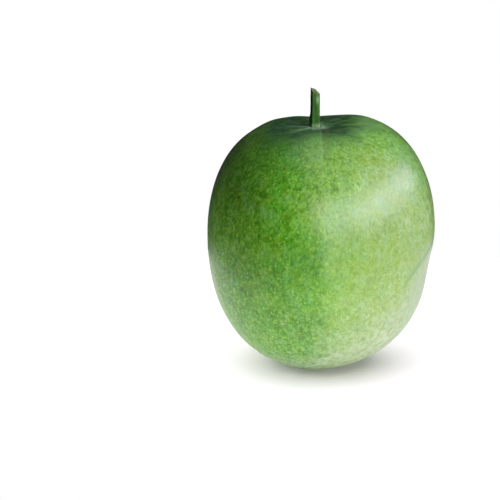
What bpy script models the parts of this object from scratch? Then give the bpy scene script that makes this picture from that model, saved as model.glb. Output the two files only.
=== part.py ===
"""A whole wax gourd as picked: the fruit, standing on its blossom end, and the cut stem that it hung by.

Metres, +Z up. The origin is on the surface that the fruit stands on, under the middle of the fruit.
The fruit is one ball-like body. Its side outline is a barrel with a flatter stem end, its plan has the
faint lobes of its three seed chambers, and it stands on a flat ring round the dimple of its blossom scar.
The stem has five ribs, a thick foot and a slanting cut. Its root sits in a socket in the crown.
"""

import math

import bmesh
import bpy
from mathutils import Vector

# Side outline of the fruit: above and below its widest height it is a superellipse,
# with one power for the radius and one for the height.
FRUIT_RADIUS = 0.114
WAIST_HEIGHT = 0.1355
CROWN_HEIGHT = 0.2558
UPPER_RADIUS_POWER = 2.67
UPPER_HEIGHT_POWER = 2.07
LOWER_RADIUS_POWER = 2.15
LOWER_HEIGHT_POWER = 2.29

# What keeps the fruit from being a turned shape. Lobes are shares of the radius.
THREE_LOBES = 0.010
THREE_LOBES_AT = math.radians(254)
FIVE_LOBES = 0.003
FIVE_LOBES_AT = math.radians(40)
CROWN_TILT = 0.024
BLOSSOM_X = -0.0042

# The shallow flat, low on the right-hand side, that the fruit lay on while it grew.
PRESSED_DEPTH = 0.005
PRESSED_AT = math.radians(-25)
PRESSED_HALF_ANGLE = math.radians(40)
PRESSED_HEIGHT = 0.098
PRESSED_HALF_HEIGHT = 0.030

# The shallow bowl round the stem, and the soft folds that run out of it.
STEM_X = -0.0057
STEM_SHIFT_WIDTH = 0.030
BOWL_DEPTH = 0.0135
BOWL_WIDTH = 0.050
FOLDS = 10
FOLD_DEPTH = 0.0009
FOLD_RADIUS = 0.017

# The foot is what a level cut takes off the round underside.
# In its middle is a dimple, and in that the button of the blossom scar.
FOOT_CUT = 0.0025
DIMPLE_DEPTH = 0.0070
DIMPLE_WIDTH = 0.011
SCAR_HEIGHT = 0.0016
SCAR_RADIUS = 0.0055

FRUIT_SEGMENTS = 80
FRUIT_RINGS = 44

# The stem, with heights from the skin that it grows out of. The ribs and the foot are shares of its radius.
STEM_RADIUS = 0.0042
STEM_RIBS = 5
STEM_RIB = 0.10
STEM_RIB_AT = math.radians(18)
STEM_LENGTH = 0.0350
STEM_LEAN_BACK = 0.0030
STEM_BOW = 0.0006
STEM_FOOT = 0.34
STEM_FOOT_HEIGHT = 0.0115
STEM_FOOT_SLOPE = 0.0022
CUT_NORMAL = Vector((0.52, -0.25, 0.82))

# The stem's root in the crown, and the slit that the socket leaves all round it.
ROOT_DEPTH = 0.0035
SOCKET_GAP = 0.0003

STEM_SEGMENTS = 40
STEM_RINGS = 20
CUT_SPARE = 0.008
CUTTER_SIZE = 0.04
SHARP_ANGLE = math.radians(40)

SKIN_GREEN = (0.195, 0.403, 0.072, 1.0)
SKIN_ROUGHNESS = 0.45
STEM_GREEN = (0.054, 0.130, 0.023, 1.0)
STEM_ROUGHNESS = 0.6


def side_outline(latitude):
    """Radius and height of the plain outline. Latitude runs from the blossom, -pi/2, to the stem, pi/2."""
    across = abs(math.cos(latitude))
    up = math.sin(latitude)
    if latitude >= 0:
        radius = FRUIT_RADIUS * across ** (2 / UPPER_RADIUS_POWER)
        rise = up ** (2 / UPPER_HEIGHT_POWER)
        return radius, WAIST_HEIGHT + (CROWN_HEIGHT - WAIST_HEIGHT) * rise
    radius = FRUIT_RADIUS * across ** (2 / LOWER_RADIUS_POWER)
    fall = (-up) ** (2 / LOWER_HEIGHT_POWER)
    return radius, WAIST_HEIGHT - (WAIST_HEIGHT + FOOT_CUT) * fall


def lobes(longitude):
    """The plan's radius as a share of the plain one, by two cosines."""
    three = THREE_LOBES * math.cos(3 * (longitude - THREE_LOBES_AT))
    five = FIVE_LOBES * math.cos(5 * (longitude - FIVE_LOBES_AT))
    return 1 + three + five


def pressed_in(longitude, height):
    """How far the skin is in at the flat that the fruit lay on: a bell curve round the side and up it."""
    turn = math.remainder(longitude - PRESSED_AT, math.tau) / PRESSED_HALF_ANGLE
    rise = (height - PRESSED_HEIGHT) / PRESSED_HALF_HEIGHT
    return PRESSED_DEPTH * math.exp(-turn * turn - rise * rise)


def crown_sink(x, y):
    """How far the crown sinks round the stem: a wide bell curve, and folds that fade in and out again."""
    distance = math.hypot(x - STEM_X, y)
    bowl = BOWL_DEPTH * math.exp(-((distance / BOWL_WIDTH) ** 2))
    reach = distance / FOLD_RADIUS
    fold = 0.5 - 0.5 * math.cos(FOLDS * math.atan2(y, x - STEM_X))
    return bowl + FOLD_DEPTH * fold * reach * math.exp(1 - reach)


def blossom_rise(x, y):
    """How far the underside rises in its middle: a dimple, less the button of the blossom scar in it."""
    distance = math.hypot(x - BLOSSOM_X, y)
    dimple = DIMPLE_DEPTH * math.exp(-((distance / DIMPLE_WIDTH) ** 2))
    button = SCAR_HEIGHT * math.exp(-((distance / SCAR_RADIUS) ** 4))
    return dimple - button


def fruit_point(longitude, latitude):
    """A point of the skin."""
    radius, z = side_outline(latitude)
    radius = radius * lobes(longitude) - pressed_in(longitude, z) * radius / FRUIT_RADIUS
    x = radius * math.cos(longitude)
    y = radius * math.sin(longitude)
    if latitude >= 0:
        high = (z - WAIST_HEIGHT) / (CROWN_HEIGHT - WAIST_HEIGHT)
        x += STEM_X * math.exp(-((radius / STEM_SHIFT_WIDTH) ** 2))
        return Vector((x, y, z + CROWN_TILT * x * high**2 - crown_sink(x, y)))
    low = (WAIST_HEIGHT - z) / (WAIST_HEIGHT + FOOT_CUT)
    x += BLOSSOM_X * low**2
    return Vector((x, y, max(z + blossom_rise(x, y), 0.0)))


def stem_point(height):
    """A point of the stem's middle line, at a height over the skin."""
    share = max(height, 0.0) / STEM_LENGTH
    bow = STEM_BOW * math.sin(math.pi * min(share, 1.0))
    seat = fruit_point(0.0, math.pi / 2)
    return seat + Vector((-bow, STEM_LEAN_BACK * share**2, height))


def stem_thickness(height):
    """The stem's radius at a height, as a share of the plain one: a soft step at the top of the foot."""
    return 1 + STEM_FOOT / (1 + math.exp((height - STEM_FOOT_HEIGHT) / STEM_FOOT_SLOPE))


def new_collection(name):
    """A collection of the scene."""
    collection = bpy.data.collections.new(name)
    bpy.context.scene.collection.children.link(collection)
    return collection


def new_material(name, colour, roughness):
    """A plain material, not a metal."""
    material = bpy.data.materials.new(name)
    material.use_nodes = True
    shader = material.node_tree.nodes["Principled BSDF"]
    shader.inputs["Base Color"].default_value = colour
    shader.inputs["Roughness"].default_value = roughness
    shader.inputs["Metallic"].default_value = 0.0
    return material


def new_piece(name, mesh, material, collection):
    """A piece of the gourd, shaded smooth apart from its sharp edges."""
    mesh.materials.append(material)
    mesh.shade_smooth()
    mesh.set_sharp_from_angle(angle=SHARP_ANGLE)
    piece = bpy.data.objects.new(name, mesh)
    collection.objects.link(piece)
    return piece


def new_cutter(name, mesh, collection):
    """A shape that is only taken away from a piece."""
    cutter = bpy.data.objects.new(name, mesh)
    cutter.hide_render = True
    cutter.display_type = "WIRE"
    collection.objects.link(cutter)
    return cutter


def cut(piece, cutter, name):
    """Takes a cutter's shape away from a piece."""
    boolean = piece.modifiers.new(name, "BOOLEAN")
    boolean.operation = "DIFFERENCE"
    boolean.solver = "EXACT"
    boolean.object = cutter


def fruit_mesh():
    """A ball whose points are moved to the skin. The sine crowds its rings towards stem and blossom."""
    ball = bmesh.new()
    bmesh.ops.create_uvsphere(ball, u_segments=FRUIT_SEGMENTS, v_segments=FRUIT_RINGS, radius=1.0)
    for vertex in ball.verts:
        longitude = math.atan2(vertex.co.y, vertex.co.x)
        sine = max(-1.0, min(vertex.co.z, 1.0))
        vertex.co = fruit_point(longitude, sine * math.pi / 2)
    mesh = bpy.data.meshes.new("fruit")
    ball.to_mesh(mesh)
    ball.free()
    return mesh


def stem_mesh(radius, root_depth):
    """A rod whose points are moved to the stem's skin, from the root's end to a little past the cut."""
    rod = bmesh.new()
    bmesh.ops.create_cone(rod, cap_ends=True, segments=STEM_SEGMENTS, radius1=1.0, radius2=1.0, depth=1.0)
    upright = [edge for edge in rod.edges if edge.verts[0].co.z * edge.verts[1].co.z < 0]
    bmesh.ops.subdivide_edges(rod, edges=upright, cuts=STEM_RINGS)
    for vertex in rod.verts:
        share = vertex.co.z + 0.5
        height = share * (root_depth + STEM_LENGTH + CUT_SPARE) - root_depth
        turn = math.atan2(vertex.co.y, vertex.co.x)
        rib = 1 + STEM_RIB * math.cos(STEM_RIBS * (turn - STEM_RIB_AT))
        reach = radius * stem_thickness(height) * rib
        vertex.co = stem_point(height) + Vector((reach * math.cos(turn), reach * math.sin(turn), 0.0))
    mesh = bpy.data.meshes.new("stem")
    rod.to_mesh(mesh)
    rod.free()
    return mesh


def slant_cutter(collection):
    """A block over the stem whose underside is the plane of the cut."""
    block = bmesh.new()
    bmesh.ops.create_cube(block, size=CUTTER_SIZE)
    mesh = bpy.data.meshes.new("stem_cut")
    block.to_mesh(mesh)
    block.free()
    cutter = new_cutter("stem_cut", mesh, collection)
    normal = CUT_NORMAL.normalized()
    cutter.location = stem_point(STEM_LENGTH) + normal * CUTTER_SIZE / 2
    cutter.rotation_mode = "QUATERNION"
    cutter.rotation_quaternion = normal.to_track_quat("Z", "Y")
    return cutter


def main():
    for old in list(bpy.data.objects):
        bpy.data.objects.remove(old, do_unlink=True)
    gourd = new_collection("wax_gourd")
    cutters = new_collection("wax_gourd_cutters")
    skin = new_material("waxy_rind", SKIN_GREEN, SKIN_ROUGHNESS)
    stalk = new_material("green_stem", STEM_GREEN, STEM_ROUGHNESS)

    fruit = new_piece("fruit", fruit_mesh(), skin, gourd)
    socket_mesh = stem_mesh(STEM_RADIUS + SOCKET_GAP, ROOT_DEPTH + SOCKET_GAP)
    cut(fruit, new_cutter("stem_socket", socket_mesh, cutters), "socket of the stem")

    stem = new_piece("stem", stem_mesh(STEM_RADIUS, ROOT_DEPTH), stalk, gourd)
    cut(stem, slant_cutter(cutters), "slanting cut")


main()
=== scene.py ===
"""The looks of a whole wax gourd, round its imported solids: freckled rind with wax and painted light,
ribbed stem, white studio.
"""

import math

import bpy
import numpy as np
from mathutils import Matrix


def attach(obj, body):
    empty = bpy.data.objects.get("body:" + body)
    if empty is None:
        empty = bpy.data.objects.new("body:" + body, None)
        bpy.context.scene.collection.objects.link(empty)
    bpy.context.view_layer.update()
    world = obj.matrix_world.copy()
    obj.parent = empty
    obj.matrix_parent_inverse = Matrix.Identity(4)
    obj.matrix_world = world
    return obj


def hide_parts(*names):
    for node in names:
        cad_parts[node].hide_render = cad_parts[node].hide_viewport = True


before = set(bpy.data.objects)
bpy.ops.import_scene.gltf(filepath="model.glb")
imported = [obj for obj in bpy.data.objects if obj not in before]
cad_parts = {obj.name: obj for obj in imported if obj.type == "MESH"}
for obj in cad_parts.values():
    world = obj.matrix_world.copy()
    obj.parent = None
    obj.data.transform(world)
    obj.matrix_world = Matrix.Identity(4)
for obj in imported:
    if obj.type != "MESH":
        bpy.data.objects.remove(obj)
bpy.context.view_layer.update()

# The camera stands 2.5 m off and looks 15 degrees down through a long lens, which draws a millimetre at
# the gourd as about one pixel. It aims left of the gourd, which so stands right of the picture's middle.
CAMERA_LENS_MM = 180
CAMERA_DISTANCE = 2.5
CAMERA_DOWN = math.radians(15)
CAMERA_AIM = (-0.0705, 0.0, 0.1162)
CAMERA_CLIP_START = 0.01

lens = bpy.data.cameras.new("camera")
lens.lens = CAMERA_LENS_MM
lens.clip_start = CAMERA_CLIP_START
camera = bpy.data.objects.new("camera", lens)
camera.location = (
    CAMERA_AIM[0],
    CAMERA_AIM[1] - CAMERA_DISTANCE * math.cos(CAMERA_DOWN),
    CAMERA_AIM[2] + CAMERA_DISTANCE * math.sin(CAMERA_DOWN),
)
camera.rotation_euler = (math.pi / 2 - CAMERA_DOWN, 0.0, 0.0)
bpy.context.collection.objects.link(camera)
bpy.context.scene.camera = camera

# The fruit: a thick green rind under a thin skin of natural wax, grown as one body with the flesh inside,
# with three seed chambers that show as faint lobes, a sunken crown round the stem, a flat that it lay on
# while it grew, and the dry scar of its blossom underneath. First come the solids' own sizes, in metres.
MM_PER_METRE = 1000
FRUIT_RADIUS = 0.114
WAIST_HEIGHT = 0.1355
CROWN_HEIGHT = 0.2558
UPPER_POWERS = (2.67, 2.07)
LOWER_POWERS = (2.15, 2.29)
THREE_LOBES, THREE_LOBES_AT = 0.010, math.radians(254)
FIVE_LOBES, FIVE_LOBES_AT = 0.003, math.radians(40)
CROWN_TILT = 0.024
BLOSSOM_X = -0.0042
PRESSED_DEPTH = 0.005
PRESSED_AT, PRESSED_HALF_ANGLE = math.radians(-25), math.radians(40)
PRESSED_HEIGHT, PRESSED_HALF_HEIGHT = 0.098, 0.030
STEM_X, STEM_SHIFT_WIDTH = -0.0057, 0.030
BOWL_DEPTH, BOWL_WIDTH = 0.0135, 0.050
FOLDS, FOLD_DEPTH, FOLD_RADIUS = 10, 0.0009, 0.017
FOOT_CUT = 0.0025
DIMPLE_DEPTH, DIMPLE_WIDTH = 0.0070, 0.011
SCAR_HEIGHT, SCAR_RADIUS = 0.0016, 0.0055

# What the skin has besides: lumps, uneven folds, a collar and socket round the stem, a crease, a wavy rim
# and veins. A wave is its share, how many there are round the stem, and where it starts.
BOX_CLEARANCE = 0.0001
LUMP_HEIGHT, LUMP_LENGTHS, LUMP_WAVES, LUMP_SEED = 0.00035, (0.035, 0.090), 14, 11
FOLD_WAVES, FOLD_SWING = [(0.30, 3, 1.0), (0.25, 7, 2.2)], 0.5
COLLAR_HEIGHT, COLLAR_RADIUS, COLLAR_WIDTH = 0.0007, 0.0078, 0.0018
SOCKET_DEPTH, SOCKET_RADIUS, SOCKET_WALL = 0.0034, 0.0054, 0.0006
CREASE_START, CREASE_END = math.radians(-4), math.radians(-46)
CREASE_DEPTH, CREASE_WIDTH = 0.0004, 0.0030
CREASE_HEIGHT, CREASE_FALL, CREASE_STEEPER = 0.139, 0.034, 0.012
CREASE_FADES_IN, CREASE_FADES_OUT = 0.25, 0.65
RIM_WAVE, RIM_DISTANCE, RIM_WIDTH = 0.0014, 0.055, 0.020
RIM_WAVES, RIM_WAVES_AT = 3.6, math.radians(85)
VEIN_TURNS = np.radians([18, 44, 70, 97, 120, 143, 180, 226, 247, 274, 300, 333])
VEIN_LENGTHS = np.array([34, 44, 26, 36, 24, 38, 42, 60, 22, 30, 20, 26]) / MM_PER_METRE
VEIN_HEIGHT, VEIN_WIDTH, VEIN_SPREAD = 0.00045, 0.0011, 0.032
VEIN_BEND, VEIN_BEND_FROM, VEIN_FADE, VEIN_START = 5.0, 0.015, 0.35, (0.005, 0.010)
RIND_COLUMNS, RIND_RINGS = 440, 222
FINE_SIDE, FINE_SHARE = math.radians(-62), 0.3
RING_CROWDING, CROWDED_LENGTH = 2.6, 0.016


def bell(distance, width):
    """A bell curve: 1 where the distance is 0, and 0.37 where it is the width."""
    return np.exp(-((distance / width) ** 2))


def soft_step(value, low, high):
    """0 below low, 1 above high, and between them the cubic 3t^2 - 2t^3 of the share t of the way."""
    share = np.clip((value - low) / (high - low), 0.0, 1.0)
    return share * share * (3 - 2 * share)


def turn_from(turn, middle):
    """The angle from a middle to a turn, the short way round."""
    return np.remainder(turn - middle + math.pi, math.tau) - math.pi


def side_outline(latitude):
    """Radius and height of the plain outline: the latitude's cosine and sine, each to its own power."""
    above = latitude >= 0
    radius_power = np.where(above, UPPER_POWERS[0], LOWER_POWERS[0])
    height_power = np.where(above, UPPER_POWERS[1], LOWER_POWERS[1])
    reach = np.where(above, CROWN_HEIGHT - WAIST_HEIGHT, -WAIST_HEIGHT - FOOT_CUT)
    radius = FRUIT_RADIUS * np.abs(np.cos(latitude)) ** (2 / radius_power)
    return radius, WAIST_HEIGHT + reach * np.abs(np.sin(latitude)) ** (2 / height_power)


def from_stem(x, y):
    """Distance from the stem's middle line and turn round it."""
    return np.hypot(x - STEM_X, y), np.arctan2(y, x - STEM_X)


def veins(distance, turn):
    """Veins that run out of the stem, bending a little: a bell curve across each, wider as it goes."""
    share = np.zeros_like(distance)
    for at, length in zip(VEIN_TURNS, VEIN_LENGTHS):
        away = turn_from(turn, at + VEIN_BEND * (distance - VEIN_BEND_FROM))
        across = away * distance / (VEIN_WIDTH + VEIN_SPREAD * distance)
        share = np.maximum(share, bell(across, 1.0) * (1 - soft_step(distance, VEIN_FADE * length, length)))
    return share * soft_step(distance, *VEIN_START)


def crown_sink(distance, turn):
    """How far the crown sinks: a wide bell curve, uneven folds that fade in and out, the socket, and the
    cosine waves of the rim behind the stem, less the collar and the veins, which stand up."""
    uneven = 1 + sum(share * np.cos(count * turn + start) for share, count, start in FOLD_WAVES)
    reach = distance / FOLD_RADIUS
    fold = (0.5 - 0.5 * np.cos(FOLDS * turn + FOLD_SWING * np.sin(3 * turn))) * uneven
    sink = BOWL_DEPTH * bell(distance, BOWL_WIDTH) + FOLD_DEPTH * fold * reach * np.exp(1 - reach)
    outside_socket = soft_step(distance, SOCKET_RADIUS - SOCKET_WALL, SOCKET_RADIUS + SOCKET_WALL)
    collar = COLLAR_HEIGHT * bell(distance - COLLAR_RADIUS, COLLAR_WIDTH)
    behind = soft_step(np.sin(turn), 0.0, 0.7) * bell(distance - RIM_DISTANCE, RIM_WIDTH)
    rim = RIM_WAVE * np.cos(RIM_WAVES * (turn - RIM_WAVES_AT)) * behind
    sink = sink + SOCKET_DEPTH * (1 - outside_socket) + rim
    return sink - collar - VEIN_HEIGHT * veins(distance, turn)


def lumps(points):
    """Slight unevenness round 0: twice the mean of plane waves 35 to 90 mm long, in seeded directions."""
    random = np.random.default_rng(LUMP_SEED)
    ways = random.normal(size=(3, LUMP_WAVES))
    ways /= np.linalg.norm(ways, axis=0) * random.uniform(*LUMP_LENGTHS, LUMP_WAVES) / math.tau
    return np.cos(points @ ways + random.uniform(0, math.tau, LUMP_WAVES)).mean(axis=-1) * 2


def crease_distance(longitude, height):
    """How far a point lies above the crease at the edge of the flat, and how strong the crease is there.

    The crease falls from behind the right-hand side towards the front, by the turn and the turn's square.
    """
    run = (CREASE_START - turn_from(longitude, 0.0)) / (CREASE_START - CREASE_END)
    middle = CREASE_HEIGHT - CREASE_FALL * run - CREASE_STEEPER * run**2
    strength = soft_step(run, 0.0, CREASE_FADES_IN) * (1 - soft_step(run, CREASE_FADES_OUT, 1.0))
    return height - middle, strength


def rind_points(longitude, latitude):
    """Points of the skin: the outline turned round Z, swollen by the lobes and pressed in at the flat, with
    a crown that tilts and sinks round the stem, and a foot that is cut level round the blossom's dimple."""
    radius, z = side_outline(latitude)
    three = THREE_LOBES * np.cos(3 * (longitude - THREE_LOBES_AT))
    five = FIVE_LOBES * np.cos(5 * (longitude - FIVE_LOBES_AT))
    away = turn_from(longitude, PRESSED_AT)
    pressed = PRESSED_DEPTH * bell(away, PRESSED_HALF_ANGLE) * bell(z - PRESSED_HEIGHT, PRESSED_HALF_HEIGHT)
    above_crease, strength = crease_distance(longitude, z)
    pressed = pressed + CREASE_DEPTH * strength * bell(above_crease, CREASE_WIDTH)
    radius = radius * (1 + three + five) - pressed * radius / FRUIT_RADIUS
    plain = np.stack([radius * np.cos(longitude), radius * np.sin(longitude), z], axis=-1)
    inward = LUMP_HEIGHT * (1 - np.minimum(lumps(plain), 1)) + BOX_CLEARANCE
    radius = radius - inward * radius / FRUIT_RADIUS
    x, y = radius * np.cos(longitude), radius * np.sin(longitude)
    above = latitude >= 0
    high = np.where(above, (z - WAIST_HEIGHT) / (CROWN_HEIGHT - WAIST_HEIGHT), 0.0)
    low = np.where(above, 0.0, (WAIST_HEIGHT - z) / (WAIST_HEIGHT + FOOT_CUT))
    x = x + np.where(above, STEM_X * bell(radius, STEM_SHIFT_WIDTH), BLOSSOM_X * low**2)
    from_blossom = np.hypot(x - BLOSSOM_X, y)
    button = SCAR_HEIGHT * np.exp(-((from_blossom / SCAR_RADIUS) ** 4))
    under = np.maximum(z + DIMPLE_DEPTH * bell(from_blossom, DIMPLE_WIDTH) - button, 0.0)
    crown = z + CROWN_TILT * x * high**2 - crown_sink(*from_stem(x, y))
    return np.stack([x, y, np.where(above, crown, under)], axis=-1)


def ring_latitudes(count):
    """Latitudes of the rings between the poles: even steps along the outline, shorter near either pole."""
    fine = np.linspace(-math.pi / 2, math.pi / 2, 8001)
    radius, height = side_outline(fine)
    steps = np.hypot(np.diff(radius), np.diff(height))
    travelled = np.cumsum(steps)
    crowding = bell(travelled, CROWDED_LENGTH) + bell(travelled[-1] - travelled, CROWDED_LENGTH)
    share = np.concatenate([[0.0], np.cumsum(steps * (1 + RING_CROWDING * crowding))])
    return np.interp(np.arange(1, count + 1) / (count + 1), share / share[-1], fine)


def closed_skin(name, rings, bottom, top):
    """A closed mesh of rings of points, lowest first: quads between the rings, and a fan to each end."""
    count, columns = rings.shape[:2]
    here = np.arange(columns)
    beside = (here + 1) % columns
    start = np.arange(count - 1)[:, None] * columns
    above = start + columns
    quads = np.stack([start + here, start + beside, above + beside, above + here], axis=-1)
    low_fan = np.stack([np.full(columns, count * columns), beside, here], axis=-1)
    high_fan = np.stack([np.full(columns, count * columns + 1), here, beside], axis=-1)
    high_fan[:, 1:] += (count - 1) * columns
    points = np.concatenate([rings.reshape(-1, 3), [bottom], [top]])
    mesh = bpy.data.meshes.new(name)
    mesh.from_pydata(points, [], quads.reshape(-1, 4).tolist() + low_fan.tolist() + high_fan.tolist())
    mesh.shade_smooth()
    piece = bpy.data.objects.new(name, mesh)
    bpy.context.collection.objects.link(piece)
    return piece


def paint(piece, name, rings):
    """Gives each point of a closed skin a number that its material reads by this name."""
    ends = [rings[0].mean(), rings[-1].mean()]
    values = np.concatenate([rings.reshape(-1), ends]).astype(np.float32)
    piece.data.attributes.new(name, "FLOAT", "POINT").data.foreach_set("value", values)


# The mesh's columns stand closer together at the front right, and its rings closer near stem and blossom.
even = np.arange(RIND_COLUMNS) * math.tau / RIND_COLUMNS
columns = even - FINE_SHARE * np.sin(even - FINE_SIDE)
longitudes, latitudes = np.meshgrid(columns, ring_latitudes(RIND_RINGS))
skin_rings = rind_points(longitudes, latitudes)
blossom, seat = rind_points(np.zeros(2), np.array([-math.pi / 2, math.pi / 2]))
rind = closed_skin("rind", skin_rings, blossom, seat)

# Where the colours of the skin lie, as shares from 0 to 1: the dark crown, its pale veins partly a painted
# sheen, painted shade round the stem, and the pale seam in front of it; painted light on the lit side and
# with the wax; painted shade on the upper back; bloom and painted light low down; the flat with its crease
# and a painted grey shade; the blossom's scar; and patches of painted shade and light on the front.
CROWN_TURNS = np.radians([-180, -150, -120, -104, -91, -78, -60, -35, 0, 45, 90, 135, 180])
CROWN_REACHES = np.array([56, 62, 62, 61, 44, 60, 62, 48, 35, 60, 72, 64, 56]) / MM_PER_METRE
CROWN_NOTCHES, CROWN_NOTCH, CROWN_FADE = 13, 0.003, (0.62, 1.32)
# Painted shade in the hollow round the stem, and the stem's painted shadow at its left side.
HOLLOW_SHADE_ZONES = [(72, 0.55, 26, 13, 0.70), (-26, 0.55, 18, 13, 0.55), (160, 0.40, 13, 5, 0.80)]
# The shoulder zone, and the patches below, are a painted sheen, pale and bluish, on the right shoulder.
TEAL_ZONE, SHOULDER_SHEEN_ZONE = (-95, 0.75, 45, 36, 1.0), (-10, 0.90, 50, 20, 1.0)
SHOULDER_SHEEN_PATCHES = [(69, 234, 10, 8, 0.45), (81, 221, 9, 9, 0.50), (93, 202, 9, 14, 0.50)]
JOINT_RADIUS, JOINT_WIDTH = 0.0070, 0.0016
JOINT_ZONES = [(-38, 0.40, 11.5, 4, 0.8), (-85, 0.60, 11.5, 5, 1.0)]
SEAM_X, SEAM_WIDTH, SEAM_FADE = -0.0020, 0.0009, (0.200, 0.228)
SEAM_TINT_X, SEAM_TINT_WIDTH, SEAM_TINT_FADE = 0.0042, 0.0018, (0.215, 0.235)
# Beside the seam: a paler stripe higher up, and lower a painted sheen where the highlight runs down the front.
SEAM_SIDE_AND_SHEEN_PATCHES = [(-11, 228, 14, 16, 1.0), (-5, 184, 13, 16, 1.0)]
# The wax side is real wax bloom and painted light: it is paler where the lamps fall, at the front right.
WAX_AND_LIGHT_MIDDLE, WAX_AND_LIGHT_STARTS, WAX_AND_LIGHT_GATHERS = math.radians(-20), 0.040, 0.065
LESS_WAX_AND_LIGHT = (24, 210, 14, 11, 0.45)
# Bloom low down, with painted light: the bottom lit from the table, and highlight patches higher up.
LOW_BLOOM_AND_LIGHT_PATCHES = [
    (6, 0, 20, 48, 0.20), (11, 14, 14, 14, 0.50), (62, 38, 12, 14, 0.32), (21, 92, 9, 9, 0.15),
    (-4, 188, 8, 7, 0.12), (-27, 190, 8, 7, 0.07), (57, 219, 8, 7, 0.10),
]
LIVELY_ZONES = [(-98, 0.50, 218, 26, 0.30), (-92, 0.60, 125, 60, -0.42), (-62, 0.50, 195, 35, -0.20)]
# Painted light: where the lamps light the front right the skin is painted paler, with patches of highlight.
LIT_SIDE_EDGE, LIT_SIDE_FADE, LIT_SIDE_END = math.radians(-88.5), np.radians([-5, 4]), (2.4, 3.1)
LIT_SIDE_ZONE, LIT_SIDE_PATCH = (-58, 0.40, 79, 13, 0.5), (-22, 178, 13, 15, 0.85)
LIT_SIDE_PATCHES = [
    (-5, 184, 10, 21, 0.80), (-27, 190, 9, 8, 0.45), (57, 219, 10, 8, 0.40), (21, 211, 11, 12, 0.20),
]
# Painted shade: patches of the front that are painted a darker green.
SHADE_PATCHES = [
    (21, 163, 12, 22, 0.60), (21, 212, 10, 9, 0.65), (-15, 140, 10, 17, 0.70), (-15, 206, 8, 8, 0.55),
    (57, 163, 12, 10, 0.55), (79, 214, 12, 9, 0.75), (93, 128, 10, 14, 0.50), (-50, 236, 12, 9, 0.90),
    (-27, 76, 9, 12, 0.45), (-14, 118, 9, 9, 0.45), (-3, 76, 8, 9, 0.45), (33, 61, 10, 8, 0.45),
    (71, 61, 11, 9, 0.60),
]
# Painted shade on the upper back: the way that it faces, and a patch where it is less.
BACK_SHADE_WAY, LESS_BACK_SHADE = np.array([0.0, 0.966, -0.259]), (93, 204, 12, 14, 0.60)
# The flat, and above it a band of painted light on the right side.
FLAT_ZONE, ABOVE_FLAT_LIGHT = (-30, math.radians(26), 82, 50, 1.0), (-25, 0.32, 158, 20, 0.30)
# Painted shade: grey on the right side below the crease, where the rim turns away.
SIDE_SHADE_ZONE = (2, 0.50, 85, 60, 1.0)


def zones(turn, along, *rows):
    """Soft zones: a bell curve of the turn, and one of a distance along. A row is a zone's middle in
    degrees, its half-angle in radians, its middle and half-width along in millimetres, and its share."""
    found = np.zeros_like(along)
    for at, half_angle, middle, width, share in rows:
        across = bell(turn_from(turn, math.radians(at)), half_angle)
        found += share * across * bell(MM_PER_METRE * along - middle, width)
    return found


def patches(*rows):
    """Soft patches of the front, which fade out round the sides: a bell curve across, and one up. A row is
    a patch's middle across and up, its half-widths across and up, all in millimetres, and its share."""
    found = np.zeros_like(skin_x)
    for x, z, wide, high, share in rows:
        found += share * bell(MM_PER_METRE * skin_x - x, wide) * bell(MM_PER_METRE * skin_z - z, high)
    return found * soft_step(-skin_y, -0.030, 0.010)


skin_x, skin_y, skin_z = np.moveaxis(skin_rings, -1, 0)
stem_distance, stem_turn = from_stem(skin_x, skin_y)
blossom_distance = np.hypot(skin_x - BLOSSOM_X, skin_y)
above_crease, crease_strength = crease_distance(longitudes, skin_z)
upper, in_front = latitudes > 0, skin_y < 0

notches = CROWN_NOTCH * np.cos(CROWN_NOTCHES * stem_turn)
crown_reach = np.interp(stem_turn, CROWN_TURNS, CROWN_REACHES) + notches
joint = bell(stem_distance - JOINT_RADIUS, JOINT_WIDTH) + zones(stem_turn, stem_distance, *JOINT_ZONES)
seam_tint = bell(skin_x - SEAM_TINT_X, SEAM_TINT_WIDTH) * soft_step(skin_z, *SEAM_TINT_FADE)
top_shares = {
    "veins": veins(stem_distance, stem_turn),
    "crown": 1 - soft_step(stem_distance / crown_reach, *CROWN_FADE),
    # painted shade in the hollow round the stem, and the stem's painted shadow
    "hollow": zones(stem_turn, stem_distance, *HOLLOW_SHADE_ZONES),
    "teal": zones(stem_turn, stem_distance, TEAL_ZONE),
    # painted sheen on the right shoulder
    "shoulder_sheen": zones(stem_turn, stem_distance, SHOULDER_SHEEN_ZONE) + patches(*SHOULDER_SHEEN_PATCHES),
    "joint": np.clip(joint, 0, 1),
    "seam": bell(skin_x - SEAM_X, SEAM_WIDTH) * soft_step(skin_z, *SEAM_FADE) * in_front,
    # partly a paler stripe, partly a painted sheen
    "seam_side_and_sheen": patches(*SEAM_SIDE_AND_SHEEN_PATCHES),
    "seam_tint": seam_tint * in_front,
}
for name, share in top_shares.items():
    paint(rind, name, np.where(upper, share, 0.0))

# The wax and its painted light start further from the stem on the right. The bloom thickens downwards, on
# the side of the wax and light most of all; low down and in patches higher up it is painted light as well.
wax_and_light_starts = WAX_AND_LIGHT_STARTS + 0.035 * bell(turn_from(stem_turn, math.radians(-12)), 0.45)
wax_and_light = soft_step(np.cos(longitudes - WAX_AND_LIGHT_MIDDLE), 0.10, 0.90) * (1 - patches(LESS_WAX_AND_LIGHT))
wax_and_light = wax_and_light * np.where(upper, soft_step(stem_distance, wax_and_light_starts, wax_and_light_starts + WAX_AND_LIGHT_GATHERS), 1.0)
low = (1 - soft_step(skin_z, 0.004, 0.115)) * (0.18 + 0.82 * wax_and_light) + patches(*LOW_BLOOM_AND_LIGHT_PATCHES)
low = low + 0.90 * (1 - soft_step(skin_z, 0.006, 0.034)) + zones(longitudes, skin_z, ABOVE_FLAT_LIGHT)

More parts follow.
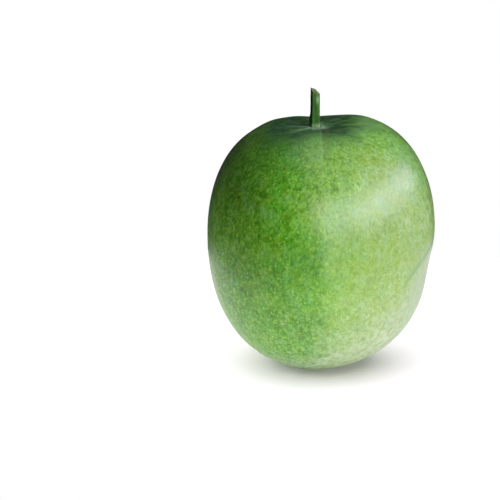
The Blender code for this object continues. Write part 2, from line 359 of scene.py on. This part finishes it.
# Painted light: the side that the lamps light is painted paler. Its edge runs up the front, further left
# above and further right below, and it wanders.
wander = 8.5 * soft_step(skin_z, 0.145, 0.175) - 3.5 * (1 - soft_step(skin_z, 0.050, 0.100))
wander = wander + 1.6 * np.sin(150 * skin_z) + 0.9 * np.sin(390 * skin_z + 1)
light_side_turn = turn_from(longitudes, LIT_SIDE_EDGE) + np.radians(wander)
painted_light_side = soft_step(light_side_turn, *LIT_SIDE_FADE) * (1 - soft_step(light_side_turn, *LIT_SIDE_END))
painted_light_side = np.maximum(painted_light_side, patches(LIT_SIDE_PATCH)) + patches(*LIT_SIDE_PATCHES)
painted_light_side = painted_light_side + zones(stem_turn, stem_distance, LIT_SIDE_ZONE) * upper

# Painted shade: the upper back is painted a darker green, the more, the further its skin faces back and down.
around = np.roll(skin_rings, -1, axis=1) - np.roll(skin_rings, 1, axis=1)
outward = np.cross(around, np.gradient(skin_rings, axis=0))
outward /= np.linalg.norm(outward, axis=-1, keepdims=True)
painted_back_shade = soft_step(outward @ BACK_SHADE_WAY, -0.52, -0.06) * soft_step(skin_z, 0.090, 0.190)
painted_back_shade = painted_back_shade * soft_step(stem_distance, 0.058, 0.078) * (1 - patches(LESS_BACK_SHADE))
painted_back_shade = painted_back_shade * (0.46 + 0.20 * soft_step(-skin_x, 0.020, 0.080))

# Lively says how strong the flecks and pores are, cool how bluish the green, and low how thick the bloom
# and the painted light low down.
skin_shares = {
    "wax_and_light": wax_and_light,
    "cool": 0.25 + 0.75 * wax_and_light,
    "lively": 1.20 - 0.53 * wax_and_light + zones(longitudes, skin_z, *LIVELY_ZONES),
    "low": np.minimum(low, 1.0),
    "painted_light_side": painted_light_side,
    "painted_back_shade": painted_back_shade,
    "shade_low": patches((-16, 66, 20, 20, 1.0)),
    # painted light on the left of the front
    "painted_light_left": patches((-44, 194, 23, 34, 1.0)),
    # painted shade in patches of the front
    "painted_shade_patches": patches(*SHADE_PATCHES),
    "flat": zones(longitudes, skin_z, FLAT_ZONE) * (1 - soft_step(above_crease, -0.024, -0.001)),
    # painted grey shade on the right side
    "grey_side_shade": zones(longitudes, skin_z, SIDE_SHADE_ZONE) * (1 - soft_step(above_crease, -0.006, 0.014)),
    "crease": crease_strength * bell(above_crease - 0.0010, 0.0038),
    "scar": np.where(upper, 0.0, 1 - soft_step(blossom_distance, 0.0050, 0.0072)),
}
for name, share in skin_shares.items():
    paint(rind, name, share)


def srgb(code):
    """The linear colour of an sRGB hex code."""
    shares = np.array([int(code[i : i + 2], 16) for i in (1, 3, 5)]) / 255
    linear = np.where(shares <= 0.04045, shares / 12.92, ((shares + 0.055) / 1.055) ** 2.4)
    return (*linear, 1.0)


def add_node(tree, kind, inputs, **settings):
    """Adds a node. Settings are its own properties. An input is a value, or another's output to link."""
    made = tree.nodes.new(kind)
    for name, value in settings.items():
        setattr(made, name, value)
    for key, value in inputs.items():
        if isinstance(value, bpy.types.NodeSocket):
            tree.links.new(value, made.inputs[key])
        else:
            made.inputs[key].default_value = value
    return made


def new_material(name, piece):
    """An empty material on a piece: its node tree, and the place on the piece in Object coordinates."""
    material = bpy.data.materials.new(name)
    material.use_nodes = True
    material.node_tree.nodes.clear()
    piece.data.materials.append(material)
    place = add_node(material.node_tree, "ShaderNodeTexCoord", {}).outputs["Object"]
    return material.node_tree, place


def finish(tree, inputs):
    """Ends a material with a Principled shader."""
    shader = add_node(tree, "ShaderNodeBsdfPrincipled", inputs)
    add_node(tree, "ShaderNodeOutputMaterial", {"Surface": shader.outputs["BSDF"]})


def clouds(tree, where, size_mm, empty, full, detail=2.0):
    """Soft clouds about this many millimetres across, as a share from 0 to 1: noise, with a smooth step
    from its value where there is no cloud to its value where a cloud is full."""
    inputs = {"Vector": where, "Scale": MM_PER_METRE / size_mm, "Detail": detail, "Roughness": 0.6}
    height = add_node(tree, "ShaderNodeTexNoise", inputs).outputs["Fac"]
    inputs = {"Value": height, "From Min": empty, "From Max": full}
    return add_node(tree, "ShaderNodeMapRange", inputs, interpolation_type="SMOOTHSTEP").outputs["Result"]


def spots(tree, where, spacing_mm, radius, softness, uneven):
    """Round spots near the middles of cells, as a share from 0 to 1, each smaller by a random amount. The
    last three are shares of the spacing. Radius and softness together stay under 0.4, or edges show."""
    cells = add_node(tree, "ShaderNodeTexVoronoi", {"Vector": where, "Scale": MM_PER_METRE / spacing_mm})
    inputs = {0: cells.outputs["Color"], 1: uneven, 2: cells.outputs["Distance"]}
    edge = add_node(tree, "ShaderNodeMath", inputs, operation="MULTIPLY_ADD").outputs[0]
    inputs = {"Value": edge, "From Min": radius + softness, "From Max": radius}
    return add_node(tree, "ShaderNodeMapRange", inputs, interpolation_type="SMOOTHSTEP").outputs["Result"]


def product(tree, *shares):
    """Multiplies shares, which are numbers, outputs of nodes, or the names that paint() gave."""
    result = None
    for share in shares:
        if isinstance(share, str):
            share = add_node(tree, "ShaderNodeAttribute", {}, attribute_name=share).outputs["Fac"]
        if result is not None:
            share = add_node(tree, "ShaderNodeMath", {0: result, 1: share}, operation="MULTIPLY").outputs[0]
        result = share
    return result


def total(tree, *shares):
    """Adds up shares, each like those of product(), to 1 at most."""
    result = product(tree, shares[0])
    for share in shares[1:]:
        inputs = {0: result, 1: product(tree, share)}
        result = add_node(tree, "ShaderNodeMath", inputs, operation="ADD", use_clamp=True).outputs[0]
    return result


def lay(tree, colour, *coats):
    """Lays coats over a colour, lowest first. A coat is a colour, and shares whose product is how much it
    covers of what lies below."""
    for tint, *shares in coats:
        inputs = {0: product(tree, *shares), 6: colour, 7: tint}
        colour = add_node(tree, "ShaderNodeMix", inputs, data_type="RGBA").outputs[2]
    return colour


# Waxed rind: a cuticle over green cells, dotted with pale cork pores a millimetre or two across. It gives
# the eye a fresh mottled green with a soft sheen, and a grey-green cast where the wax has gathered. Some
# colours are painted light and shade: a paler lit side, patches of sheen and highlight, and shade round the
# stem, on the upper back, at the right side and in patches of the front.
DEEP_GREEN, LEAF_GREEN, LIME_GREEN = srgb("#489808"), srgb("#5eac0a"), srgb("#78bb12")
WAX_AND_LIGHT_GREEN, COOL_GREEN, YELLOW_GREEN = srgb("#8fa95c"), srgb("#70aa6c"), srgb("#86aa20")
LIT_SIDE_GREEN, BRIGHT_GREEN, BACK_SHADE_GREEN = srgb("#90c638"), srgb("#66c618"), srgb("#2c4634")
LIGHT_FLECK, LIT_WAX_PALE_FLECK = srgb("#9adc50"), srgb("#b7cb9c")
DARK_FLECK_AND_SHADE, LIT_WAX_DARK_FLECK = srgb("#346a0e"), srgb("#5a7532")
PALE_PORE, LIT_WAX_PORE, DARK_PIT = srgb("#bae66c"), srgb("#c8dca4"), srgb("#2f5c1a")
PALE_CLOUD, LIT_WAX_CLOUD = srgb("#86c478"), srgb("#b4ccac")
RICH_CLOUD, LIT_WAX_RICH = srgb("#3c8400"), srgb("#7c9c30")
CROWN_GREEN, HOLLOW_SHADE_GREEN, VEIN_PALE_AND_SHEEN = srgb("#28533c"), srgb("#16341f"), srgb("#7aa88c")
TEAL_GREEN, SHEEN_TEAL, JOINT_PALE = srgb("#5ca06c"), srgb("#86bd94"), srgb("#aacab2")
PALE_SEAM_AND_SHEEN, SEAM_BROWN, CORK_BROWN = srgb("#b4cf94"), srgb("#7c9350"), srgb("#8a7a58")
BLOOM_AND_LIGHT_WHITE, CREASE_GREEN = srgb("#ccd8bd"), srgb("#4a8434")
FLAT_GREY, SIDE_SHADE_GREY = srgb("#b9c3ae"), srgb("#7c9680")
SWAY_MM, SWAY_REACH, UPRIGHT_SCALE = 4.0, 0.0016, 0.75
WAX_IOR, RELIEF_STRENGTH, RELIEF_HEIGHT = 1.45, 0.40, 0.0005

# The flecks' edges sway a little, and each fleck is taller than it is wide.
tree, place = new_material("waxed_rind", rind)
inputs = {"Vector": place, "Scale": MM_PER_METRE / SWAY_MM, "Detail": 1.0}
sway = add_node(tree, "ShaderNodeTexNoise", inputs).outputs["Color"]
inputs = {0: sway, 1: (SWAY_REACH, SWAY_REACH, SWAY_REACH), 2: place}
swayed = add_node(tree, "ShaderNodeVectorMath", inputs, operation="MULTIPLY_ADD").outputs[0]
inputs = {"Vector": swayed, "Scale": (1.0, 1.0, UPRIGHT_SCALE)}
tall = add_node(tree, "ShaderNodeMapping", inputs).outputs["Vector"]

# A fleck, pore or cloud is paler where the rind is waxy and painted lit.
pairs = [
    (LIGHT_FLECK, LIT_WAX_PALE_FLECK), (DARK_FLECK_AND_SHADE, LIT_WAX_DARK_FLECK), (PALE_PORE, LIT_WAX_PORE), (PALE_CLOUD, LIT_WAX_CLOUD),
    (RICH_CLOUD, LIT_WAX_RICH),
]
light, dark, pore, pale, rich = [lay(tree, fresh, (waxed, "wax_and_light")) for fresh, waxed in pairs]
grain = clouds(tree, tall, 1.3, 0.30, 0.70)
pores = spots(tree, tall, 3.2, 0.20, 0.17, 0.20)
bloom_and_light = product(tree, "low", clouds(tree, place, 5.5, 0.26, 0.66, 3.0))
crown = product(tree, "crown", total(tree, clouds(tree, place, 8, 0.30, 0.80), 0.55))
# painted grey shade on the right side
side_shade = product(tree, "grey_side_shade", total(tree, clouds(tree, tall, 4.4, 0.36, 0.60), 0.42))
colour = lay(
    tree, DEEP_GREEN,
    (LEAF_GREEN, clouds(tree, place, 60, 0.36, 0.64)),
    (LIME_GREEN, clouds(tree, place, 22, 0.40, 0.66), 0.40),
    # painted light on the left of the front
    (BRIGHT_GREEN, "painted_light_left", 0.95),
    (DARK_FLECK_AND_SHADE, "shade_low", 0.30),
    # painted light on the side that the lamps light
    (LIT_SIDE_GREEN, "painted_light_side", 0.55),
    # wax, and painted light on the lit side
    (WAX_AND_LIGHT_GREEN, "wax_and_light", 0.80),
    (COOL_GREEN, "cool", clouds(tree, place, 13, 0.50, 0.66), 0.34),
    (YELLOW_GREEN, clouds(tree, place, 13, 0.50, 0.36), 0.36),
    (pale, "lively", clouds(tree, tall, 10, 0.46, 0.72), 0.36),
    (rich, "lively", clouds(tree, tall, 10, 0.54, 0.30), 0.44),
    (light, "lively", clouds(tree, tall, 4.4, 0.48, 0.72), 0.40),
    (dark, "lively", clouds(tree, tall, 4.4, 0.50, 0.28), 0.46),
    (light, "lively", clouds(tree, tall, 2.4, 0.50, 0.72), 0.52),
    (dark, "lively", clouds(tree, tall, 2.4, 0.48, 0.28), 0.56),
    (pore, "lively", spots(tree, tall, 1.9, 0.18, 0.17, 0.20), 0.38),
    (pore, "lively", pores, 0.52),
    (pore, "lively", spots(tree, tall, 6.0, 0.11, 0.08, 0.22), 0.62),
    (DARK_PIT, "lively", spots(tree, tall, 8.0, 0.10, 0.05, 0.22), 0.60),
    # painted shade in patches of the front
    (DARK_FLECK_AND_SHADE, "painted_shade_patches", 0.30),
    (TEAL_GREEN, "teal", 0.44),
    # painted sheen on the right shoulder
    (SHEEN_TEAL, "shoulder_sheen", 0.42),
    (CROWN_GREEN, crown, 0.93),
    # pale veins, partly a painted sheen on their ridges
    (VEIN_PALE_AND_SHEEN, "veins", clouds(tree, place, 6, 0.20, 0.65), 0.66),
    # painted shade and shadow round the stem
    (HOLLOW_SHADE_GREEN, "hollow", 0.60),
    # painted shade on the upper back
    (BACK_SHADE_GREEN, "painted_back_shade"),
    # beside the seam, partly a painted sheen
    (PALE_SEAM_AND_SHEEN, "seam_side_and_sheen", 0.26),
    (SEAM_BROWN, "seam_tint", 0.40),
    (PALE_SEAM_AND_SHEEN, "seam", grain, 0.66),
    # bloom, with painted light low down
    (BLOOM_AND_LIGHT_WHITE, bloom_and_light, 0.80),
    (FLAT_GREY, "flat", clouds(tree, tall, 4.4, 0.20, 0.66), 0.38),
    # painted grey shade on the right side
    (SIDE_SHADE_GREY, side_shade, clouds(tree, tall, 2.4, 0.10, 0.50), 0.90),
    (CREASE_GREEN, "crease", clouds(tree, place, 3.5, 0.15, 0.55), 0.60),
    (JOINT_PALE, "joint", clouds(tree, place, 1.5, 0.10, 0.70), 0.90),
    (CORK_BROWN, "scar"),
)
swells = clouds(tree, tall, 4.4, 0.0, 1.4)
relief = total(tree, product(tree, grain, 0.12), product(tree, pores, 0.30), swells)
inputs = {"Height": relief, "Strength": RELIEF_STRENGTH, "Distance": RELIEF_HEIGHT}
bump = add_node(tree, "ShaderNodeBump", inputs).outputs["Normal"]
dull_flecks = product(tree, clouds(tree, tall, 4.4, 0.40, 0.66), 0.10)
dull = total(tree, dull_flecks, product(tree, bloom_and_light, 0.20), 0.32)
finish(tree, {"Base Color": colour, "Roughness": dull, "Normal": bump, "IOR": WAX_IOR})
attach(rind, "root")
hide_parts("fruit")

# The stem: the stalk that the fruit hung by, a fibrous green rod with five ribs and a foot that is thicker,
# most on its left side. It was cut slantwise with a knife, so its end shows pale pith round a hollow,
# inside a ring of fibres and a dark dried rim. A little way up is the nub where a small leaf fell off.
STEM_RADIUS, STEM_LENGTH, ROOT_DEPTH = 0.0043, 0.0350, 0.0032
STEM_RIBS, STEM_RIB, STEM_RIB_AT, RIB_EDGE = 5, 0.10, math.radians(18), 0.022
WANDER_WAVES = [(0.10, 160, 0), (0.05, 410, 1)]
FIBRES, FIBRE_SHARES, STEM_SWELL = (23, 31), (0.010, 0.008), 0.012
STEM_LEAN_BACK, STEM_LEAN_LEFT, STEM_BOW = 0.0030, 0.0005, 0.0003
STEM_FOOT, STEM_FOOT_HEIGHT, STEM_FOOT_SLOPE = 0.34, 0.0115, 0.0022
NUB_ZONE, NUB_SIZE = (-15, 0.30, 12.5, 1.4, 1.0), 0.0008
CUT_NORMAL = np.array([0.52, -0.25, 0.82]) / np.linalg.norm([0.52, -0.25, 0.82])
CUT_DROP, CUT_DISH, CUT_STEPS, CUT_REACH = 0.0002, 0.00012, 6, (0.985, 0.03)
CUT_RIM_RISE, CUT_RIM_WIDTH = 0.00018, 0.05
BUNDLES, BUNDLE_RISE, BUNDLE_REACH, BUNDLE_WIDTH = 10, 0.00016, 0.66, 0.09
PITH_FALL, PITH_WIDTH, PITH_BOTTOM = 0.0009, 0.30, 0.0010
STEM_COLUMNS, STEM_RINGS, CUT_RINGS = 160, 150, 26
# Painted highlights on the stem: a spot up its front, and a stripe down its left side.
STEM_HIGHLIGHT_ZONE, STEM_HIGHLIGHT_STRIPE = (-58, 0.34, 27.5, 4.0, 1.0), (-164, 0.28, 0, math.inf, 0.22)
# Painted shade on the stem: a stripe left of its front, the front right below the cut, and low on the right.
STEM_SHADE_STRIPE, STEM_SHADE_FRONT = (-130, 0.20, 0, math.inf, 0.95), (-40, 0.45, 0, math.inf, 0.52)
STEM_SHADE_FOOT = (-25, 0.70, 8.5, 4.2, 0.55)
seat_level = CROWN_HEIGHT + CROWN_TILT * STEM_X - BOWL_DEPTH


def stem_middle(height):
    """The stem's middle line: it bows left as half a sine, leans left evenly, and back by the square."""
    share = np.clip(height / STEM_LENGTH, 0.0, None)
    bow = STEM_BOW * np.sin(math.pi * np.clip(share, 0.0, 1.0)) + STEM_LEAN_LEFT * share
    return np.stack([STEM_X - bow, STEM_LEAN_BACK * share**2, seat_level + height], axis=-1)


def stem_rib(turn, height):
    """The share by which ribs and fibres raise the stem: cosines round it, which wander on their way up."""
    wander = sum(share * np.sin(height * waves + start) for share, waves, start in WANDER_WAVES)
    rib = STEM_RIB * np.cos(STEM_RIBS * (turn - STEM_RIB_AT) + wander)
    edge = RIB_EDGE * np.cos(2 * STEM_RIBS * (turn - STEM_RIB_AT) + wander)
    fibres = FIBRE_SHARES[0] * np.cos(FIBRES[0] * turn + 3 * wander)
    fibres = fibres + FIBRE_SHARES[1] * np.cos(FIBRES[1] * turn + 2 + 0.3 * np.sin(height * 700))
    return rib + edge + fibres + STEM_SWELL * np.sin(height * 520 + 2 * np.cos(turn))


def stem_skin(turn, height):
    """Points of the stem's skin: the middle line, and round it the radius with its ribs and nub. A soft
    step makes the foot thicker, most on the left."""
    foot = STEM_FOOT / (1 + np.exp((height - STEM_FOOT_HEIGHT) / STEM_FOOT_SLOPE))
    foot = foot * (0.45 - 0.55 * np.cos(turn))
    nub = NUB_SIZE * zones(turn, height, NUB_ZONE)
    reach = STEM_RADIUS * (1 + foot) * (1 + stem_rib(turn, height)) + nub
    out = np.stack([np.cos(turn), np.sin(turn), np.zeros_like(turn)], axis=-1)
    return stem_middle(height) + out * reach[..., None]


# Each column of the stem ends where it meets the plane of the cut. A few steps towards the plane find it.
turns = np.arange(STEM_COLUMNS) * math.tau / STEM_COLUMNS
cut_middle = stem_middle(np.array(STEM_LENGTH)) - CUT_NORMAL * CUT_DROP
ends = np.full(STEM_COLUMNS, STEM_LENGTH)
for _ in range(CUT_STEPS):
    ends = ends - (stem_skin(turns, ends) - cut_middle) @ CUT_NORMAL / CUT_NORMAL[2]
share_up = np.linspace(0.0, 1.0, STEM_RINGS)[:, None]
stem_heights = -ROOT_DEPTH + (ends + ROOT_DEPTH) * share_up
stem_turns = np.broadcast_to(turns, stem_heights.shape)
side_rings = stem_skin(stem_turns, stem_heights)

# The cut's rings shrink towards its middle: a raised rim, ten bundles of fibres, and a hollow in the pith.
inward = np.linspace(*CUT_REACH, CUT_RINGS)[:, None] + 0 * turns
bundles = bell(inward - BUNDLE_REACH, BUNDLE_WIDTH) * (0.5 + 0.5 * np.cos(BUNDLES * turns))
pith = bell(inward, PITH_WIDTH)
dish = CUT_RIM_RISE * bell(inward - 1.0, CUT_RIM_WIDTH) + BUNDLE_RISE * bundles
dish = dish - PITH_FALL * pith - CUT_DISH
cut_rings = cut_middle + (side_rings[-1] - cut_middle) * inward[..., None] + CUT_NORMAL * dish[..., None]
stem_rings = np.concatenate([side_rings, cut_rings])
root, hollow = stem_middle(np.array(-ROOT_DEPTH)), cut_middle - CUT_NORMAL * PITH_BOTTOM
stem = closed_skin("stem_stalk", stem_rings, root, hollow)

# Where the stem's colours lie: ribs, painted highlights on a few spots and the nub, painted shade in stripes
# and low on the right, a pale foot, and the rest on its cut.
on_side, on_cut = np.ones_like(stem_heights), np.ones_like(dish)
# painted highlights, with the nub painted pale
painted_highlight = np.maximum(zones(stem_turns, stem_heights, STEM_HIGHLIGHT_ZONE), zones(stem_turns, stem_heights, STEM_HIGHLIGHT_STRIPE))
# painted shade in stripes and low on the right
front_shade = zones(stem_turns, stem_heights, STEM_SHADE_FRONT) * (1 - soft_step(stem_heights, 0.019, 0.025))
painted_stem_shade = np.minimum(front_shade + zones(stem_turns, stem_heights, STEM_SHADE_STRIPE, STEM_SHADE_FOOT), 1)
stem_shares = {
    "cut": (0 * on_side, on_cut),
    # the furrows between the ribs are painted darker, as painted shade
    "ribs": (np.clip(0.5 + 4 * stem_rib(stem_turns, stem_heights), 0, 1), on_cut),
    "foot": (1 - soft_step(stem_heights, 0.0005, 0.0055), 0 * on_cut),
    "painted_highlight": (np.maximum(painted_highlight, zones(stem_turns, stem_heights, NUB_ZONE)), 0 * on_cut),
    "painted_stem_shade": (painted_stem_shade, 0 * on_cut),
    "pith": (0 * on_side, pith),
    "bundles": (0 * on_side, bundles),
    "dried": (0 * on_side, soft_step(inward, 0.80, 0.93)),
}
for name, (of_side, of_cut) in stem_shares.items():
    paint(stem, name, np.concatenate([of_side, of_cut]))

# Stalk skin: tough green fibre with a thin cuticle. It gives the eye lighter ribs, fine strands along its
# length, and on the cut a dry pith, paler than the ring of fibres. Painted shade darkens its furrows, some
# stripes and the hollow of the pith, and painted highlights lighten a few spots.
RIB_GREEN, FURROW_SHADE_GREEN, PALE_FIBRE_AND_HIGHLIGHT = srgb("#4f882e"), srgb("#245216"), srgb("#a6c898")
PITH_PALE, PITH_HOLLOW_SHADE = srgb("#869660"), srgb("#1f2610")
BUNDLE_OLIVE, DRIED_BROWN = srgb("#55692f"), srgb("#343a18")
STRAND_SCALE, STRAND_STRENGTH, STRAND_HEIGHT = 0.12, 0.4, 0.0003
STALK_ROUGHNESS, STALK_SPECULAR = 0.72, 0.15

tree, place = new_material("fibrous_stalk", stem)
inputs = {"Vector": place, "Scale": (1.0, 1.0, STRAND_SCALE)}
along = add_node(tree, "ShaderNodeMapping", inputs).outputs["Vector"]
strand = clouds(tree, along, 0.9, 0.38, 0.64, 3.0)
cut_colour = lay(
    tree, PITH_PALE,
    (BUNDLE_OLIVE, "bundles"),
    (BUNDLE_OLIVE, clouds(tree, place, 0.7, 0.40, 0.70), 0.45),
    # painted shade in the pith's hollow
    (PITH_HOLLOW_SHADE, "pith"),
    (DRIED_BROWN, "dried", 0.85),
)
colour = lay(
    tree, FURROW_SHADE_GREEN,
    (RIB_GREEN, total(tree, product(tree, "ribs", 0.8), product(tree, strand, 0.25))),
    # painted shade in stripes
    (FURROW_SHADE_GREEN, "painted_stem_shade"),
    (PALE_FIBRE_AND_HIGHLIGHT, clouds(tree, place, 5.0, 0.40, 0.66), strand, 0.08),
    (PALE_FIBRE_AND_HIGHLIGHT, "foot", clouds(tree, place, 2.0, 0.20, 0.60), 0.85),
    # painted highlights
    (PALE_FIBRE_AND_HIGHLIGHT, "painted_highlight", 0.70),
    (cut_colour, "cut"),
)
inputs = {"Height": strand, "Strength": STRAND_STRENGTH, "Distance": STRAND_HEIGHT}
bump = add_node(tree, "ShaderNodeBump", inputs).outputs["Normal"]
inputs = {"Roughness": STALK_ROUGHNESS, "Specular IOR Level": STALK_SPECULAR, "Normal": bump}
finish(tree, {"Base Color": colour, **inputs})
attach(stem, "root")
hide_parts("stem")

# The studio: a round white table top in a dark room that the camera sees as white. A panel at the front
# right and a weak fill behind light the gourd alone, and three strips show only in its sheen. A wide soft
# light overhead falls on the table alone, and leaves the gourd's soft shadow there.
WHITE = (1.0, 1.0, 1.0, 1.0)
TABLE_RADIUS, TABLE_CORNERS = 0.45, 96
TABLE_WHITE, TABLE_GLOW = srgb("#f4edf5"), 0.14
STRIP_TINT, NEAR_STRIP_TILT = (1.0, 0.88, 1.30), math.radians(-5)
OVERHEAD_LIGHT, OVERHEAD_SPREAD, OVERHEAD_TILT = 5.0, math.radians(120), math.radians(-10)
ROOM_LIGHT = 0.045

around = np.arange(TABLE_CORNERS) * math.tau / TABLE_CORNERS
rim = np.stack([TABLE_RADIUS * np.cos(around), TABLE_RADIUS * np.sin(around), 0 * around], axis=-1)
table_mesh = bpy.data.meshes.new("table")
table_mesh.from_pydata(rim, [], [list(range(TABLE_CORNERS))])
table = bpy.data.objects.new("table", table_mesh)
bpy.context.collection.objects.link(table)
tree, _ = new_material("white_table", table)
glow = {"Emission Color": WHITE, "Emission Strength": TABLE_GLOW}
finish(tree, {"Base Color": TABLE_WHITE, "Roughness": 1.0, "Specular IOR Level": 0.0, **glow})

on_gourd = bpy.data.collections.new("lit_from_the_side")
on_gourd.objects.link(rind)
on_gourd.objects.link(stem)
on_table = bpy.data.collections.new("lit_from_overhead")
on_table.objects.link(table)


def soft_light(name, azimuth, elevation, distance, width, height, radiance, tint=(1.0, 1.0, 1.0)):
    """A rectangular light that faces the gourd's middle. Azimuth is to the right of the camera. Both angles
    are in degrees, and lengths in metres."""
    data = bpy.data.lights.new(name, "AREA")
    data.shape = "RECTANGLE"
    data.size = width
    data.size_y = height
    data.energy = radiance * math.pi * width * height
    data.color = tint
    light = bpy.data.objects.new(name, data)
    turn, rise = math.radians(azimuth), math.radians(elevation)
    light.location = (
        distance * math.cos(rise) * math.sin(turn),
        -distance * math.cos(rise) * math.cos(turn),
        WAIST_HEIGHT + distance * math.sin(rise),
    )
    light.rotation_euler = (math.pi / 2 - rise, 0.0, turn)
    light.visible_camera = False
    light.light_linking.receiver_collection = on_gourd
    bpy.context.collection.objects.link(light)
    return light


soft_light("panel", 45, 30, 1.2, 0.80, 1.65, 4.4).visible_glossy = False
soft_light("back_fill", 180, 5, 1.5, 2.0, 1.0, 0.65).visible_glossy = False
near_strip = soft_light("near_strip", 33, 16, 1.0, 1.06, 0.27, 8.0, STRIP_TINT)
near_strip.visible_diffuse = False
near_strip.rotation_euler.y = NEAR_STRIP_TILT
soft_light("far_strip", 86, 20, 1.0, 1.12, 0.30, 7.7, STRIP_TINT).visible_diffuse = False
soft_light("upright_strip", 15, -6, 1.0, 0.28, 0.50, 2.6, STRIP_TINT).visible_diffuse = False

overhead_data = bpy.data.lights.new("overhead", "SUN")
overhead_data.energy = OVERHEAD_LIGHT
overhead_data.angle = OVERHEAD_SPREAD
overhead = bpy.data.objects.new("overhead", overhead_data)
overhead.rotation_euler = (0.0, OVERHEAD_TILT, 0.0)
bpy.context.collection.objects.link(overhead)
overhead.light_linking.receiver_collection = on_table

world = bpy.data.worlds.new("studio")
world.use_nodes = True
tree = world.node_tree
tree.nodes.clear()
to_camera = add_node(tree, "ShaderNodeLightPath", {}).outputs["Is Camera Ray"]
room, white = [
    add_node(tree, "ShaderNodeBackground", {"Color": WHITE, "Strength": strength}).outputs[0]
    for strength in (ROOM_LIGHT, 1.0)
]
mixed = add_node(tree, "ShaderNodeMixShader", {0: to_camera, 1: room, 2: white}).outputs[0]
add_node(tree, "ShaderNodeOutputWorld", {"Surface": mixed})
bpy.context.scene.world = world
bpy.context.scene.view_settings.view_transform = "Standard"
